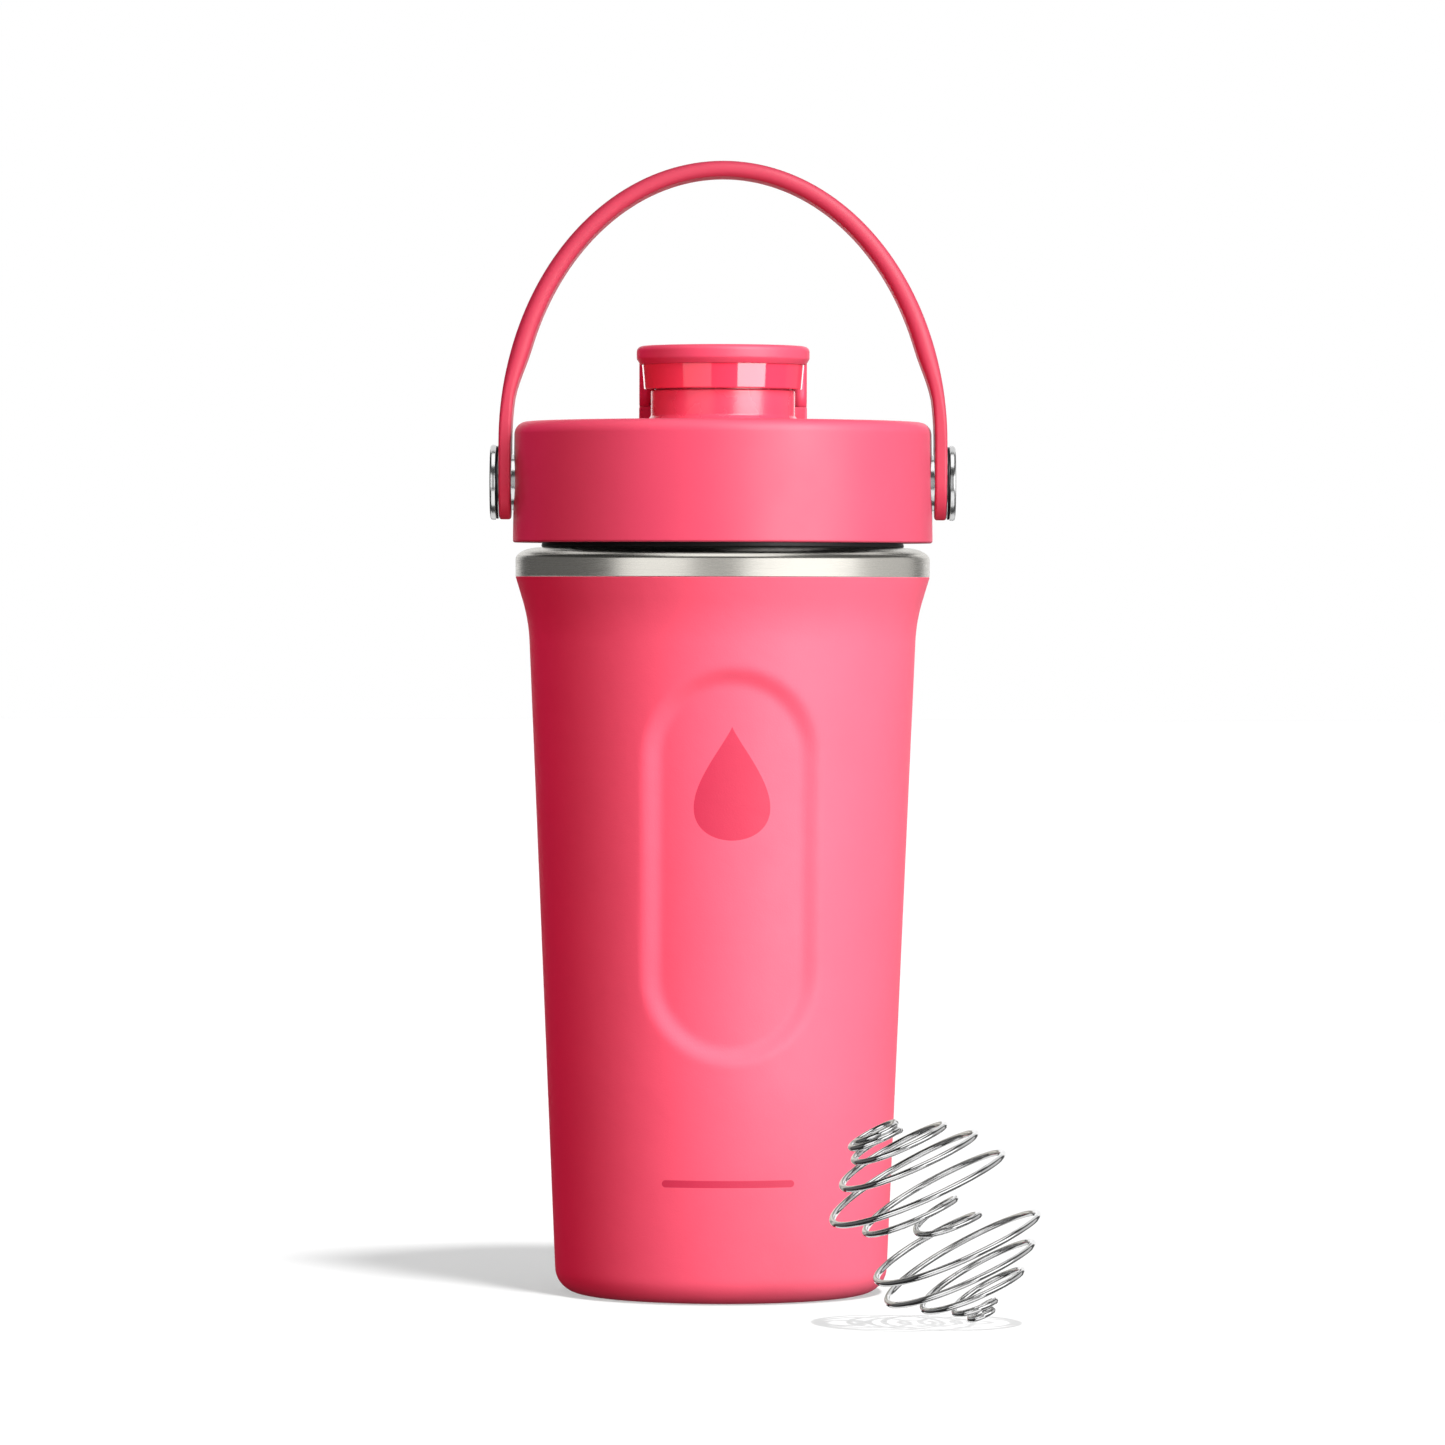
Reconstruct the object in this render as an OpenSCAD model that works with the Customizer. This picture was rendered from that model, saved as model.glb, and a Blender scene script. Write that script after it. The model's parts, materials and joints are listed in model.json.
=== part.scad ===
// Insulated protein shaker bottle with a screw lid, flip cap, carry strap and loose wire whisk.
// Millimetres. +Z is up, -Y is the front, and the origin is on the bottle's axis, where it stands.

/* [Bottle] */
// Radius of the tapered wall, carried down to the resting surface
base_r = 38.86; // [36:0.01:40]
// Widening of the wall per millimetre of height
wall_taper = 0.04286; // [0.035:0.00001:0.045]
// Widening of the flare under the rim per millimetre of height
flare_slope = 0.303; // [0.25:0.001:0.35]
// Radius of the corner round the base
base_corner_r = 6; // [4:0.5:7]
// Outside radius of the bare steel rim
rim_r = 48.9; // [48.5:0.1:49.2]
// Height where the paint ends and the bare rim begins
paint_z = 169; // [168:0.1:170]
// Height of the rim's top face
rim_top_z = 175.9; // [175:0.1:176]
// Thickness of the outer shell's sheet
shell_t = 0.6; // [0.5:0.1:0.8]
// Width of the vacuum gap between the shell and the inner vessel
vacuum_gap = 3.5; // [3.5:0.1:3.7]
// Thickness of the inner vessel's sheet
vessel_t = 0.5; // [0.4:0.1:0.6]

/* [Grip recess] */
// Width of the recess at the wall's surface
recess_w = 37; // [30:1:40]
// Height of the recess at the wall's surface
recess_h = 88; // [70:1:95]
// Height of the recess's centre
recess_z = 100.5; // [90:0.5:105]
// Depth of the recess
recess_depth = 2.2; // [1:0.1:2.4]
// Angle that the bottle is turned by, about its axis, to the recess's centre
recess_turn = 2.8; // [0:0.1:5]

/* [Screw thread] */
// Rise of the thread in one turn
thread_lead = 12; // [12:1:13]
// Number of thread starts
thread_starts = 3; // [3]
// Angle that each thread ridge runs through
ridge_span = 105; // [75:15:105]
// Height of a ridge at its root
ridge_w = 1.9; // [1.6:0.1:2]
// Radius of the mouth's inside wall
mouth_r = 40.6; // [40.5:0.1:40.8]

/* [Lid] */
// Radius of the lid's lower edge
lid_r = 49.55; // [49.3:0.05:49.6]
// Inward draft of the lid's wall, from its lower edge to its top
lid_draft = 0.35; // [0.2:0.05:0.5]
// Height of the lid's lower edge
lid_bottom_z = 177; // [176.8:0.1:177.2]
// Height of the lid's top face
lid_top_z = 205.5; // [205:0.1:205.6]
// Radius of the lid's top corner
lid_corner_r = 3; // [2:0.5:4]
// Thickness of the lid's wall
lid_t = 2.2; // [2:0.1:2.4]

/* [Spout and flip cap] */
// Outside radius of the spout's neck
neck_r = 17; // [16.5:0.1:17.1]
// Radius of the spout's bore
spout_bore_r = 13.8; // [12:0.1:14]
// Height of the neck's shoulder
neck_top_z = 213; // [212.8:0.1:213]
// Height of the spout's drinking lip
lip_z = 216.8; // [216:0.1:216.9]
// Radius of the cap's top
cap_r = 20.4; // [20.2:0.1:20.6]
// Height of the cap's top face
cap_top_z = 223.4; // [223:0.1:223.8]
// Height of the cap top's underside
cap_under_z = 219; // [218.9:0.1:219.2]
// Height of the cap's hinge axis
cap_axis_z = 212.5; // [212.3:0.1:212.7]
// Distance of the cap's hinge axis behind the bottle's axis
cap_axis_y = 24; // [24:0.1:24.4]

/* [Carry strap] */
// Width of the strap
strap_w = 17.5; // [15:0.5:17.5]
// Thickness of the strap at its pivots
strap_t = 2.9; // [2.5:0.1:2.9]
// Height of the strap's pivot axis
pivot_z = 191.2; // [190:0.1:192]
// Half the strap's outside width
strap_half = 52.8; // [52.8:0.1:53.4]
// Height of the top of the strap's arch above its pivots
strap_rise = 75.6; // [72:0.1:80]

/* [Whisk] */
// Diameter of the whisk's wire
wire_d = 1.5; // [1.2:0.1:1.6]
// Length of the whisk, from one end turn to the other
whisk_len = 46; // [44:0.5:46]
// Lean of the whisk to the bottle's left, from upright
whisk_lean = 26.5; // [20:0.1:27]
// Tilt of the whisk towards the front
whisk_tilt = 2.5; // [0:0.1:3]
// Distance of the whisk's middle to the right of the bottle's axis
whisk_x = 48.7; // [45:0.1:55]
// Distance of the whisk's middle in front of the bottle's axis
whisk_y = 80; // [76:0.5:85]
// Height of the whisk's middle
whisk_z = 22.8; // [22.8:0.1:24]

/* [Hidden] */
$fn = 96;

pink = [0.97, 0.36, 0.46];
gloss_pink = [0.98, 0.28, 0.42];
steel = [0.78, 0.78, 0.78];
black = [0.07, 0.07, 0.08];
grey = [0.45, 0.45, 0.47];

eps = 0.01;

// Bottle: the taper line and the flare line meet at bend_z and blend over bend_half to either side
bend_z = (rim_r - flare_slope * paint_z - base_r) / (wall_taper - flare_slope);
bend_half = 5;
corner_steps = 8;
foot_r = 31.6;
foot_rise = 2;
base_disc_t = 1.2;
shoulder_z = 173;
shoulder_in = 6;
rim_t = 0.8;
lip_round = 1;
vessel_floor_z = 7;
vessel_corner_r = 8;
vessel_neck_z = 150;
vacuum_plug_r = 4;
getter_r = 5;
getter_y = 15;
getter_h = 1.6;

// Thread: the lid's ridges sit midway between the mouth's
liner_r = mouth_r - 1.4;
ridge_reach = 1.1;
ridge_end_reach = 0.4;
ridge_root = 0.35;
ridge_crest_w = 1.1;
ridge_step = 7.5;
ridge_fade = 15;
male_z = 160;
female_z = 162;

// Lid
lid_in_top_z = lid_top_z - 2.5;
gasket_r = 42.9;
gasket_clear = 0.1;
gasket_draft = 0.3;
gasket_top_z = 177.2;
liner_t = 2.2;
liner_bottom_z = 157;
liner_flange_r = lid_r - lid_draft - lid_t - 0.6;
spout_flange_r = 22;
spout_flange_t = 1.6;
spout_flange_z = lid_in_top_z - spout_flange_t;
spout_foot_z = spout_flange_z - 2;
ring_h = 2;
ring_reach = 2.5;
press_t = 1.8;
boss_r = 8;
boss_in_x = 45.6;

// Cap and its hinge
knuckle_r = 4.3;
pin_r = 1.5;
pin_clear = 0.05;
arm_in = 16.6;
arm_half = 20;
arm_rear = 1.2;
arm_skin = 0.6;
tongue_drop = 0.6;
block_half = arm_in - 0.4;
saddle_top_z = 207.5;
skirt_bottom_z = 213.2;
skirt_top_r = 19.1;
skirt_bottom_r = 18.6;
skirt_in_r = 17.15;
lip_r = 16.2;
seal_bottom_z = 217.1;

// Strap and its pivots
arch_c = 9.4;
strap_in_x = strap_half - strap_t;
strap_clear = 0.1;
strap_bore_clear = 0.05;
arch_in_a = 48.4;
apex_t = 3.7;
arch_in_b = strap_rise - arch_c - apex_t;
thick_from = 19;
thick_to = 33;
outer_steps = 48;
inner_steps = 36;
bush_flange_r = 6.6;
bush_flange_x = 48.6;
bush_face_x = strap_in_x - strap_clear;
bush_r = 4.5;
bush_bore_r = 2.5;
shank_r = 2.4;
washer_r = 8.6;
washer_t = 0.55;
head_r = 8.9;
head_t = 1.55;
nut_r = 5.2;
nut_t = 2.7;

// Whisk: radius of the wire's path at each half turn, from the top end to the bottom end
whisk_radii = [
    2.5, 3, 10.5, 11.5, 15.5, 17, 21, 20.5, 15.5, 6.5, 5,
    9.5, 18, 21.5, 18, 17.5, 11.5, 12.5, 5.5, 4, 3
];
half_turn_steps = 10;
wire_sides = 6;
// Half turns crowd together towards the ends, as equal angles do towards the ends of a sine
crowding = 68;

// ---------- outlines ----------

function taper_r(z) = base_r + wall_taper * z;

// Outside radius of the painted shell at height z
function body_r(z) =
    z <= bend_z - bend_half ? taper_r(z)
    : z >= bend_z + bend_half ? rim_r - flare_slope * (paint_z - z)
    : taper_r(z) + (flare_slope - wall_taper) * pow(z - bend_z + bend_half, 2) / (4 * bend_half);

// Points of an arc about [x, y]; rx and ry are its radii, and it runs from angle a0 to a1
function arc(x, y, rx, ry, a0, a1, n = corner_steps) =
    [for (i = [0:n]) let (a = a0 + (a1 - a0) * i / n) [x + rx * cos(a), y + ry * sin(a)]];

function reversed(list) = [for (i = [len(list) - 1:-1:0]) list[i]];

// The shell's outline, moved inwards by inset
function body_line(inset) =
    let (
        corner = base_corner_r - inset,
        centre_r = taper_r(base_corner_r) - base_corner_r,
        low = bend_z - bend_half,
        high = bend_z + bend_half
    )
    concat(
        arc(centre_r, base_corner_r, corner, corner, -90, 0),
        [for (i = [0:corner_steps])
            let (z = low + (high - low) * i / corner_steps) [body_r(z) - inset, z]],
        [[body_r(paint_z) - inset, paint_z]]
    );

// Solid of revolution inside the shell's outline moved inwards by inset
module body_solid(inset) {
    line = body_line(inset);
    rotate_extrude() polygon(concat([[0, line[0][1]]], line, [[0, paint_z]]));
}

// ---------- shapes used more than once ----------

// One thread ridge: a trapezoid swept up a helix, lower at both ends.
// dir is 1 for a ridge that points outwards from radius r and -1 for one that points inwards.
module ridge(r, dir, z0) {
    n = ridge_span / ridge_step;
    function fade(a) = min(1, min(a, ridge_span - a) / ridge_fade);
    function ring(i) =
        let (
            a = i * ridge_step,
            z = z0 + thread_lead * a / 360,
            crest = r + dir * (ridge_end_reach + (ridge_reach - ridge_end_reach) * fade(a)),
            root = r - dir * ridge_root
        )
        [for (p = [[root, -ridge_w], [crest, -ridge_crest_w], [crest, ridge_crest_w], [root, ridge_w]])
            [p[0] * cos(a), p[0] * sin(a), z + p[1] / 2]];
    points = [for (i = [0:n]) each ring(i)];
    sides = [for (i = [0:n - 1]) for (j = [0:3])
        [4 * i + j, 4 * i + (j + 1) % 4, 4 * i + 4 + (j + 1) % 4, 4 * i + 4 + j]];
    ends = [[3, 2, 1, 0], [for (j = [0:3]) 4 * n + j]];
    faces = concat(sides, ends);
    polyhedron(points, dir > 0 ? faces : [for (f = faces) reversed(f)], convexity = 4);
}

module ridges(r, dir, z0) {
    for (i = [0:thread_starts - 1]) rotate(ridge_step + i * 360 / thread_starts)
        ridge(r, dir, z0);
}

// Upright slot outline, extruded forwards through the front wall
module recess_prism(w, h) {
    straight = (h - w) / 2;
    translate([0, 0, recess_z]) rotate([90, 0, 0]) linear_extrude(height = 2 * rim_r) union() {
        square([w, 2 * straight], center = true);
        translate([0, straight]) circle(d = w);
        translate([0, -straight]) circle(d = w);
    }
}

// A cylinder along X, from x0 to x1 on the pivot axis
module pivot_rod(r, x0, x1) {
    translate([x0, 0, pivot_z]) rotate([0, 90, 0]) cylinder(r = r, h = x1 - x0);
}

// A cylinder along X, on the cap's hinge axis and centred on the bottle
module hinge_rod(r, half) {
    translate([-half, cap_axis_y, cap_axis_z]) rotate([0, 90, 0]) cylinder(r = r, h = 2 * half);
}

// ---------- bottle ----------

module both_recesses(w, h) {
    for (turn = [recess_turn, recess_turn + 180]) rotate(turn) recess_prism(w, h);
}

module outer_shell() {
    color(pink) difference() {
        union() {
            difference() {
                body_solid(0);
                body_solid(shell_t);
            }
            intersection() {
                both_recesses(recess_w, recess_h);
                difference() {
                    body_solid(0);
                    body_solid(recess_depth + shell_t);
                }
            }
        }
        intersection() {
            both_recesses(recess_w - 2 * shell_t, recess_h - 2 * shell_t);
            difference() {
                translate([0, 0, base_corner_r]) cylinder(r = rim_r + 1, h = paint_z - base_corner_r);
                body_solid(recess_depth);
            }
        }
        translate([0, 0, -1]) cylinder(r = foot_r, h = base_corner_r);
    }
}

// Disc that closes the shell underneath, set back from the foot, with an upright flange round its edge
module base_disc() {
    flange_h = 1.4;
    flange_t = 0.8;
    color(pink) difference() {
        translate([0, 0, foot_rise - base_disc_t]) union() {
            cylinder(r = foot_r, h = base_disc_t);
            difference() {
                cylinder(r = foot_r, h = base_disc_t + flange_h);
                translate([0, 0, -1]) cylinder(r = foot_r - flange_t, h = base_disc_t + flange_h + 2);
            }
        }
        translate([0, 0, -1]) cylinder(r = vacuum_plug_r, h = foot_rise + 2);
    }
}

module vacuum_plug() {
    color(grey) translate([0, 0, foot_rise - base_disc_t]) cylinder(r = vacuum_plug_r, h = base_disc_t);
}

module getter_capsule() {
    color(steel) translate([0, getter_y, vessel_floor_z - getter_h]) cylinder(r = getter_r, h = getter_h);
}

// Inner vessel with the female thread in its mouth, rolled over at the top into the bare rim
module inner_vessel() {
    corner = vessel_corner_r;
    corner_z = vessel_floor_z + corner;
    corner_x = taper_r(corner_z) - shell_t - vacuum_gap - corner;
    neck_out = mouth_r + vessel_t;
    shoulder_h = rim_top_z - shoulder_z;
    flat_r = rim_r - shoulder_in;
    outside = concat(
        [[0, vessel_floor_z]],
        arc(corner_x, corner_z, corner, corner, -90, 0),
        [[neck_out, vessel_neck_z], [neck_out, rim_top_z - rim_t - lip_round]],
        [[flat_r, rim_top_z - rim_t]],
        reversed(arc(flat_r, shoulder_z, shoulder_in - rim_t, shoulder_h - rim_t, 0, 90)),
        [[rim_r - rim_t, paint_z]]
    );
    inside = concat(
        [[0, vessel_floor_z + vessel_t]],
        arc(corner_x, corner_z, corner - vessel_t, corner - vessel_t, -90, 0),
        [[mouth_r, vessel_neck_z]],
        arc(mouth_r + lip_round, rim_top_z - lip_round, lip_round, lip_round, 180, 90),
        reversed(arc(flat_r, shoulder_z, shoulder_in, shoulder_h, 0, 90)),
        [[rim_r, paint_z]]
    );
    color(steel) union() {
        rotate_extrude() polygon(concat(outside, reversed(inside)));
        ridges(mouth_r, -1, female_z);
    }
}

// ---------- lid ----------

module mouth_gasket() {
    color(black) difference() {
        translate([0, 0, rim_top_z])
            cylinder(r1 = gasket_r, r2 = gasket_r - gasket_draft, h = gasket_top_z - rim_top_z);
        translate([0, 0, rim_top_z - 1]) cylinder(r = liner_r + gasket_clear, h = 4);
    }
}

module lid_shell() {
    top_r = lid_r - lid_draft;
    outline = concat(
        [[lid_r - lid_t, lid_bottom_z], [lid_r, lid_bottom_z]],
        arc(top_r - lid_corner_r, lid_top_z - lid_corner_r, lid_corner_r, lid_corner_r, 0, 90),
        [[neck_r, lid_top_z], [neck_r, lid_in_top_z], [top_r - lid_t, lid_in_top_z]]
    );
    color(pink) difference() {
        union() {
            rotate_extrude() polygon(outline);
            intersection() {
                for (side = [0, 180]) rotate(side) pivot_rod(boss_r, boss_in_x, lid_r);
                translate([0, 0, lid_bottom_z])
                    cylinder(r = top_r - lid_t / 2, h = lid_top_z - lid_bottom_z);
            }
            // saddle and knuckle of the cap's hinge
            translate([-arm_half, cap_axis_y - knuckle_r, lid_top_z - 1])
                cube([2 * arm_half, 2 * knuckle_r, saddle_top_z - lid_top_z + 1]);
            translate([-block_half, cap_axis_y - knuckle_r, lid_top_z - 1])
                cube([2 * block_half, 2 * knuckle_r, cap_axis_z - lid_top_z + 1]);
            hinge_rod(knuckle_r, block_half);
        }
        hinge_rod(pin_r, block_half + 1);
        for (side = [0, 180]) rotate(side) {
            pivot_rod(bush_r, boss_in_x - 1, lid_r + 1);
            pivot_rod(bush_flange_r, bush_flange_x, lid_r + 1);
        }
    }
}

// Threaded plug inside the lid, with the flange that presses the gasket onto the rim
module lid_liner() {
    press_z = gasket_top_z + press_t;
    outline = [
        [liner_r - liner_t, liner_bottom_z], [liner_r, liner_bottom_z],
        [liner_r, gasket_top_z], [gasket_r, gasket_top_z], [gasket_r, press_z],
        [liner_r, press_z], [liner_r, spout_foot_z], [liner_flange_r, spout_foot_z],
        [liner_flange_r, lid_in_top_z], [spout_flange_r, lid_in_top_z], [spout_flange_r, spout_flange_z],
        [neck_r, spout_flange_z], [neck_r, spout_foot_z], [liner_r - liner_t, spout_foot_z]
    ];
    color(black) union() {
        rotate_extrude() polygon(outline);
        ridges(liner_r, 1, male_z);
    }
}

module spout() {
    lip = (lip_r - spout_bore_r) / 2;
    color(gloss_pink) rotate_extrude() polygon(concat(
        [[spout_bore_r, spout_foot_z], [neck_r, spout_foot_z], [neck_r, spout_flange_z]],
        [[spout_flange_r, spout_flange_z], [spout_flange_r, lid_in_top_z], [neck_r, lid_in_top_z]],
        [[neck_r, neck_top_z], [lip_r, neck_top_z]],
        arc(spout_bore_r + lip, lip_z - lip, lip, lip, 0, 180)
    ));
}

// Seal under the spout's foot
module spout_ring() {
    color(black) translate([0, 0, spout_foot_z - ring_h]) difference() {
        cylinder(r = neck_r + ring_reach, h = ring_h);
        translate([0, 0, -1]) cylinder(r = spout_bore_r, h = ring_h + 2);
    }
}

module hinge_pin() {
    color(steel) hinge_rod(pin_r - pin_clear, arm_half - arm_skin);
}

// ---------- strap pivots: side is 0 for the right and 180 for the left ----------

module pivot_bush(side) {
    color(steel) rotate(side) difference() {
        union() {
            pivot_rod(bush_r, boss_in_x, strap_half + strap_clear);
            pivot_rod(bush_flange_r, bush_flange_x, bush_face_x);
        }
        pivot_rod(bush_bore_r, boss_in_x - 1, strap_half + 1);
    }
}

module pivot_washer(side) {
    color(black) rotate(side) difference() {
        pivot_rod(washer_r, strap_half + strap_clear, strap_half + strap_clear + washer_t);
        pivot_rod(bush_bore_r, strap_half - 1, strap_half + 2);
    }
}

module pivot_cap(side) {
    x0 = strap_half + strap_clear + washer_t;
    edge = 0.6;
    color(steel) rotate(side) union() {
        translate([x0, 0, pivot_z]) rotate([0, 90, 0]) rotate_extrude() polygon(concat(
            [[0, 0], [head_r, 0]],
            arc(head_r - edge, head_t - edge, edge, edge, 0, 90),
            [[0, head_t]]
        ));
        pivot_rod(shank_r, boss_in_x - nut_t, x0 + eps);
    }
}

module pivot_nut(side) {
    color(steel) rotate(side) difference() {
        translate([boss_in_x - nut_t, 0, pivot_z]) rotate([0, 90, 0])
            cylinder(r = nut_r, h = nut_t, $fn = 6);
        pivot_rod(bush_bore_r, boss_in_x - nut_t - 1, boss_in_x + 1);
    }
}

module left_pivot_bush() { pivot_bush(180); }
module left_pivot_washer() { pivot_washer(180); }
module left_pivot_cap() { pivot_cap(180); }
module left_pivot_nut() { pivot_nut(180); }
module right_pivot_bush() { pivot_bush(0); }
module right_pivot_washer() { pivot_washer(0); }
module right_pivot_cap() { pivot_cap(0); }
module right_pivot_nut() { pivot_nut(0); }

// ---------- flip cap ----------

module cap_cover() {
    edge = 1.8;
    step = 1.2;
    rear = cap_axis_y + arm_rear;
    color(pink) difference() {
        union() {
            rotate_extrude() polygon(concat(
                [[0, cap_under_z], [skirt_top_r, cap_under_z], [cap_r, cap_under_z + step]],
                arc(cap_r - edge, cap_top_z - edge, edge, edge, 0, 90),
                [[0, cap_top_z]]
            ));
            translate([-arm_half, 0, cap_under_z])
                cube([2 * arm_half, rear, cap_top_z - cap_under_z - tongue_drop]);
            for (x = [-arm_half, arm_in]) {
                translate([x, cap_axis_y - knuckle_r, cap_axis_z])
                    cube([arm_half - arm_in, knuckle_r + arm_rear, cap_under_z - cap_axis_z + 1]);
                translate([x, cap_axis_y, cap_axis_z]) rotate([0, 90, 0])
                    cylinder(r = knuckle_r, h = arm_half - arm_in);
            }
        }
        hinge_rod(pin_r, arm_half - arm_skin);
    }
}

// Glossy inner cap that drops over the spout's lip
module cap_skirt() {
    color(gloss_pink) difference() {
        translate([0, 0, skirt_bottom_z])
            cylinder(r1 = skirt_bottom_r, r2 = skirt_top_r, h = cap_under_z - skirt_bottom_z);
        translate([0, 0, skirt_bottom_z - 1])
            cylinder(r = skirt_in_r, h = cap_under_z - skirt_bottom_z + 2);
    }
}

module cap_seal() {
    color(black) difference() {
        translate([0, 0, seal_bottom_z]) cylinder(r = skirt_in_r, h = cap_under_z - seal_bottom_z);
        translate([0, 0, seal_bottom_z - 1]) cylinder(r = spout_bore_r - 2, h = 2);
    }
}

// ---------- carry strap ----------

// Distance of the arch's inner face from the middle at height z above the pivots
function arch_in_x(z) =
    let (
        arch = arch_in_a * sqrt(max(0, 1 - pow((z - arch_c) / arch_in_b, 2))),
        t = min(1, max(0, (z - thick_from) / (thick_to - thick_from))),
        s = t * t * (3 - 2 * t)
    )
    (1 - s) * strap_in_x + s * arch;

module carry_strap() {
    out_b = strap_rise - arch_c;
    bend_heights = [for (z = [thick_from:2:thick_to]) z];
    top_a = asin((thick_to - arch_c) / arch_in_b);
    outer = concat(
        [[strap_half, -strap_w]],
        arc(0, arch_c, strap_half, out_b, 0, 180, outer_steps),
        [[-strap_half, -strap_w]]
    );
    left_in = concat([[-strap_in_x, -strap_w]], [for (z = bend_heights) [-arch_in_x(z), z]]);
    right_in = concat(reversed([for (z = bend_heights) [arch_in_x(z), z]]), [[strap_in_x, -strap_w]]);
    crown = arc(0, arch_c, arch_in_a, arch_in_b, 180 - top_a, top_a, inner_steps);
    color(pink) difference() {
        intersection() {
            translate([0, strap_w / 2, pivot_z]) rotate([90, 0, 0])
                linear_extrude(height = strap_w) polygon(concat(outer, left_in, crown, right_in));
            union() {
                pivot_rod(strap_w / 2, -strap_half - 1, strap_half + 1);
                translate([-strap_half - 1, -strap_w / 2 - 1, pivot_z])
                    cube([2 * strap_half + 2, strap_w + 2, strap_rise + 1]);
            }
        }
        pivot_rod(bush_r + strap_bore_clear, -strap_half - 1, strap_half + 1);
    }
}

// ---------- whisk ----------

// Radius of the wire's path h half turns below the top
function whisk_r(h) =
    let (
        i = min(floor(h), len(whisk_radii) - 2),
        t = h - i,
        s = t * t * (3 - 2 * t)
    )
    whisk_radii[i] * (1 - s) + whisk_radii[i + 1] * s;

// Point of the wire's path h half turns below the top, with the whisk upright about the origin
function whisk_point(h) =
    let (
        w = 2 * h / (len(whisk_radii) - 1) - 1,
        r = whisk_r(h),
        a = 180 * (h - 1)
    )
    [r * cos(a), r * sin(a), -whisk_len / 2 * sin(crowding * w) / sin(crowding)];

module whisk_wire() {
    n = (len(whisk_radii) - 1) * half_turn_steps;
    function path(i) = whisk_point(min(n, max(0, i)) / half_turn_steps);
    function unit(v) = v / norm(v);
    function ring(i) =
        let (
            along = unit(path(i + 1) - path(i - 1)),
            side = unit(cross(along, [0, 0, 1])),
            up = cross(side, along)
        )
        [for (j = [0:wire_sides - 1])
            let (a = 360 * j / wire_sides) path(i) + wire_d / 2 * (cos(a) * side + sin(a) * up)];
    points = [for (i = [0:n]) each ring(i)];
    sides = [for (i = [0:n - 1]) for (j = [0:wire_sides - 1])
        let (k = (j + 1) % wire_sides, b = wire_sides * i)
        [b + j, b + k, b + wire_sides + k, b + wire_sides + j]];
    ends = [[for (j = [wire_sides - 1:-1:0]) j], [for (j = [0:wire_sides - 1]) wire_sides * n + j]];
    color(steel) translate([whisk_x, -whisk_y, whisk_z])
        rotate([whisk_tilt, 0, 0]) rotate([0, -whisk_lean, 0])
        polyhedron(points, concat(sides, ends), convexity = 20);
}

outer_shell();
inner_vessel();
base_disc();
vacuum_plug();
getter_capsule();
mouth_gasket();
lid_shell();
lid_liner();
spout();
spout_ring();
hinge_pin();
left_pivot_bush();
left_pivot_washer();
left_pivot_cap();
left_pivot_nut();
right_pivot_bush();
right_pivot_washer();
right_pivot_cap();
right_pivot_nut();
cap_cover();
cap_skirt();
cap_seal();
carry_strap();
whisk_wire();
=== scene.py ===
"""Looks for the protein shaker bottle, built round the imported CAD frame.

Metres, +Z up, -Y the front, and the origin on the bottle's axis where it stands."""

import json
import math

import bmesh
import bpy
from mathutils import Matrix, Vector

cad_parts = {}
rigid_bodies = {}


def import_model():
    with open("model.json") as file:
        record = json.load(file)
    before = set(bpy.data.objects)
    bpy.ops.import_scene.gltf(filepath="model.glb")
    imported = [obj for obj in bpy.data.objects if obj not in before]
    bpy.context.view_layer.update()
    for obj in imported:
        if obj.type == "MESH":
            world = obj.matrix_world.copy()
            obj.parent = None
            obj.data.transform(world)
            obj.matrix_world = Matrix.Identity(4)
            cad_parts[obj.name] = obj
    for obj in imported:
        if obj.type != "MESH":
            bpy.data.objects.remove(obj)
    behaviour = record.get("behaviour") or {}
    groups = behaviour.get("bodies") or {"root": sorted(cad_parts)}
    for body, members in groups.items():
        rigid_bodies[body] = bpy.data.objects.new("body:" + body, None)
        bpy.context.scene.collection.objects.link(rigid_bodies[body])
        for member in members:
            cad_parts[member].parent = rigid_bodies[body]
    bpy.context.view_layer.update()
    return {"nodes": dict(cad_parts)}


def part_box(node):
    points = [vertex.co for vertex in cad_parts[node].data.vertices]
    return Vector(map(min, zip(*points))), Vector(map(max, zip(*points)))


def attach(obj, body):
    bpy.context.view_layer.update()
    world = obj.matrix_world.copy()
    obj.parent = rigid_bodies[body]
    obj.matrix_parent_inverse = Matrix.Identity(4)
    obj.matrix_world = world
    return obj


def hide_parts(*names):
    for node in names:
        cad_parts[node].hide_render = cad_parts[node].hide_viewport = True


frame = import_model()
MM = 0.001

# ---------- sizes from the frame, and the few that no box gives ----------

SHELL_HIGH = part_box("outer_shell")[1]
RIM_R = SHELL_HIGH.x
PAINT_Z = SHELL_HIGH.z
RIM_TOP_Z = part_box("inner_vessel")[1].z
GASKET_LOW, GASKET_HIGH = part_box("mouth_gasket")
LID_LOW, LID_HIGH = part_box("lid_shell")
LID_R = LID_HIGH.x
SPOUT_LOW, SPOUT_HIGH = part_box("spout")
COVER_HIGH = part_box("cap_cover")[1]
SKIRT_LOW, SKIRT_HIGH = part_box("cap_skirt")
STRAP_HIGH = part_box("carry_strap")[1]
HEAD_LOW, HEAD_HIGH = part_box("right_pivot_cap")
WASHER_LOW, WASHER_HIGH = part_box("right_pivot_washer")
PIVOT_Z = (WASHER_LOW.z + WASHER_HIGH.z) / 2

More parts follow.
